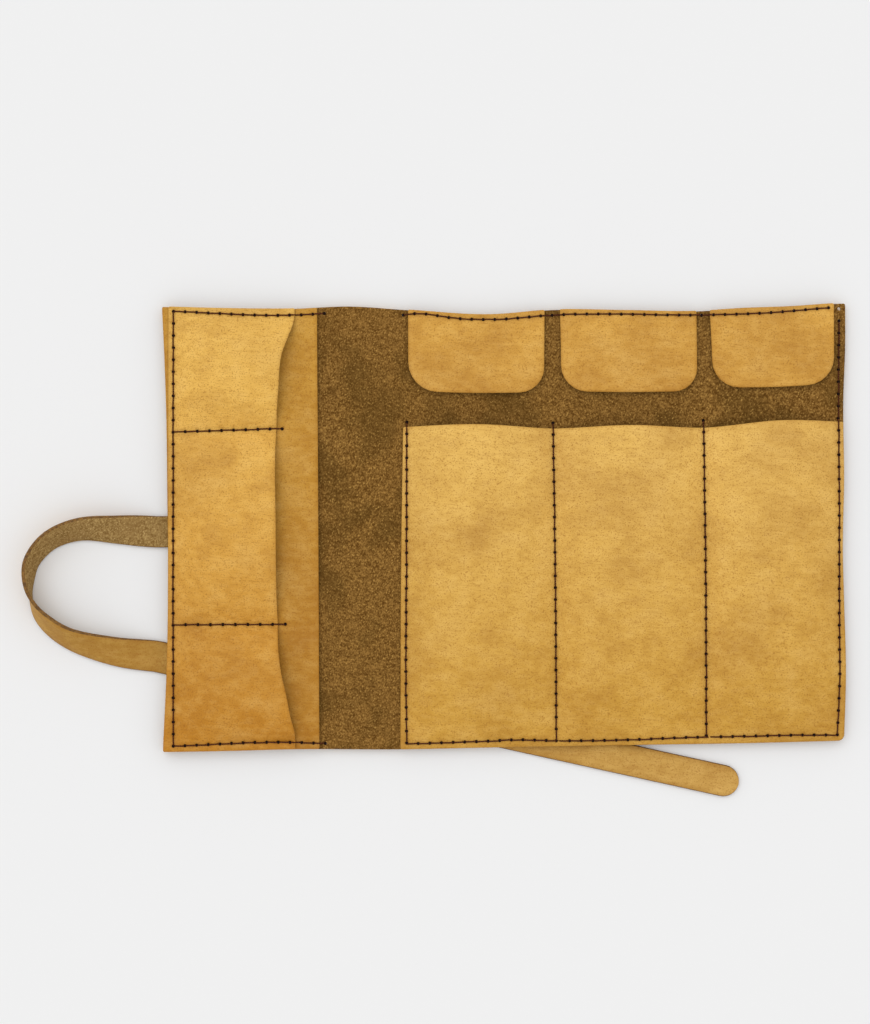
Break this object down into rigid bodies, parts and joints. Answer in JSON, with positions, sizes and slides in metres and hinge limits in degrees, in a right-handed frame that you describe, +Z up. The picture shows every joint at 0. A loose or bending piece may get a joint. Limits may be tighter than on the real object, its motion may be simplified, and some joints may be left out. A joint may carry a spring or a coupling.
{
  "type": "leather pen roll case",
  "caption": "Roll-up leather case with stitched pen pockets, flaps over the pens, card pockets and a wrap-around strap.",
  "frame": {"origin": "bottom centre of the whole object, strap included, as it lies open on a table", "axes": "+X along the open case from the card pockets to the last pen pocket, +Y from the bottom edge to the top edge with the flaps, +Z up from the table, out of the pockets"},
  "size_m": [0.3998, 0.2384, 0.0151],
  "materials": {
    "grain_leather": "vegetable-tanned full-grain leather, golden tan, satin",
    "suede_leather": "flesh side of the same leather, brown, matt and fibrous",
    "thread": "waxed dark brown sewing thread"
  },
  "bodies": {
    "card_section": {"outer_panel_card": "suede_leather", "card_pocket_lower": "grain_leather", "card_pocket_scooped": "grain_leather", "thread_card_left": "thread", "thread_card_top": "thread", "thread_card_bottom": "thread", "thread_card_divider_upper": "thread", "thread_card_divider_lower": "thread", "strap": "suede_leather", "thread_strap_anchor": "thread"},
    "spine": {"outer_panel_spine": "suede_leather"},
    "bay_1": {"outer_panel_bay_1": "suede_leather", "pen_pocket_1": "grain_leather", "flap_hem_1": "grain_leather", "thread_pen_left": "thread", "thread_divider_1": "thread", "thread_pen_bottom_1": "thread", "thread_flap_1": "thread"},
    "bay_2": {"outer_panel_bay_2": "suede_leather", "pen_pocket_2": "grain_leather", "flap_hem_2": "grain_leather", "thread_divider_2": "thread", "thread_pen_bottom_2": "thread", "thread_flap_2": "thread"},
    "bay_3": {"outer_panel_bay_3": "suede_leather", "pen_pocket_3": "grain_leather", "flap_hem_3": "grain_leather", "thread_pen_right": "thread", "thread_pen_bottom_3": "thread", "thread_flap_3": "thread"},
    "flap_1": {"flap_1": "grain_leather"},
    "flap_2": {"flap_2": "grain_leather"},
    "flap_3": {"flap_3": "grain_leather"},
    "strap_tail": {"strap_tail": "grain_leather"}
  },
  "joints": [
    {"name": "spine_fold", "type": "hinge", "parent": "card_section", "child": "spine", "pos_m": [-0.04727, 0.01222, 0.0104], "axis": [0, -1, 0], "range_deg": [0, 90]},
    {"name": "bay_1_fold", "type": "hinge", "parent": "spine", "child": "bay_1", "pos_m": [-0.02277, 0.01222, 0.0104], "axis": [0, -1, 0], "range_deg": [0, 90]},
    {"name": "bay_2_fold", "type": "hinge", "parent": "bay_1", "child": "bay_2", "pos_m": [0.05803, 0.01222, 0.0158], "axis": [0, -1, 0], "range_deg": [0, 179.5]},
    {"name": "bay_3_fold", "type": "hinge", "parent": "bay_2", "child": "bay_3", "pos_m": [0.13163, 0.01222, 0.01115], "axis": [0, -1, 0], "range_deg": [0, 179.5]},
    {"name": "flap_1_lift", "type": "hinge", "parent": "bay_1", "child": "flap_1", "pos_m": [0.02148, 0.11172, 0.0059], "axis": [-1, 0, 0], "range_deg": [0, 178]},
    {"name": "flap_2_lift", "type": "hinge", "parent": "bay_2", "child": "flap_2", "pos_m": [0.09533, 0.11172, 0.0059], "axis": [-1, 0, 0], "range_deg": [0, 178]},
    {"name": "flap_3_lift", "type": "hinge", "parent": "bay_3", "child": "flap_3", "pos_m": [0.16548, 0.11172, 0.0059], "axis": [-1, 0, 0], "range_deg": [0, 178]},
    {"name": "tail_bend", "type": "hinge", "parent": "card_section", "child": "strap_tail", "pos_m": [0.1099, -0.1041, 0.0048], "axis": [-0.2147, -0.9767, 0], "range_deg": [0, 120]}
  ]
}
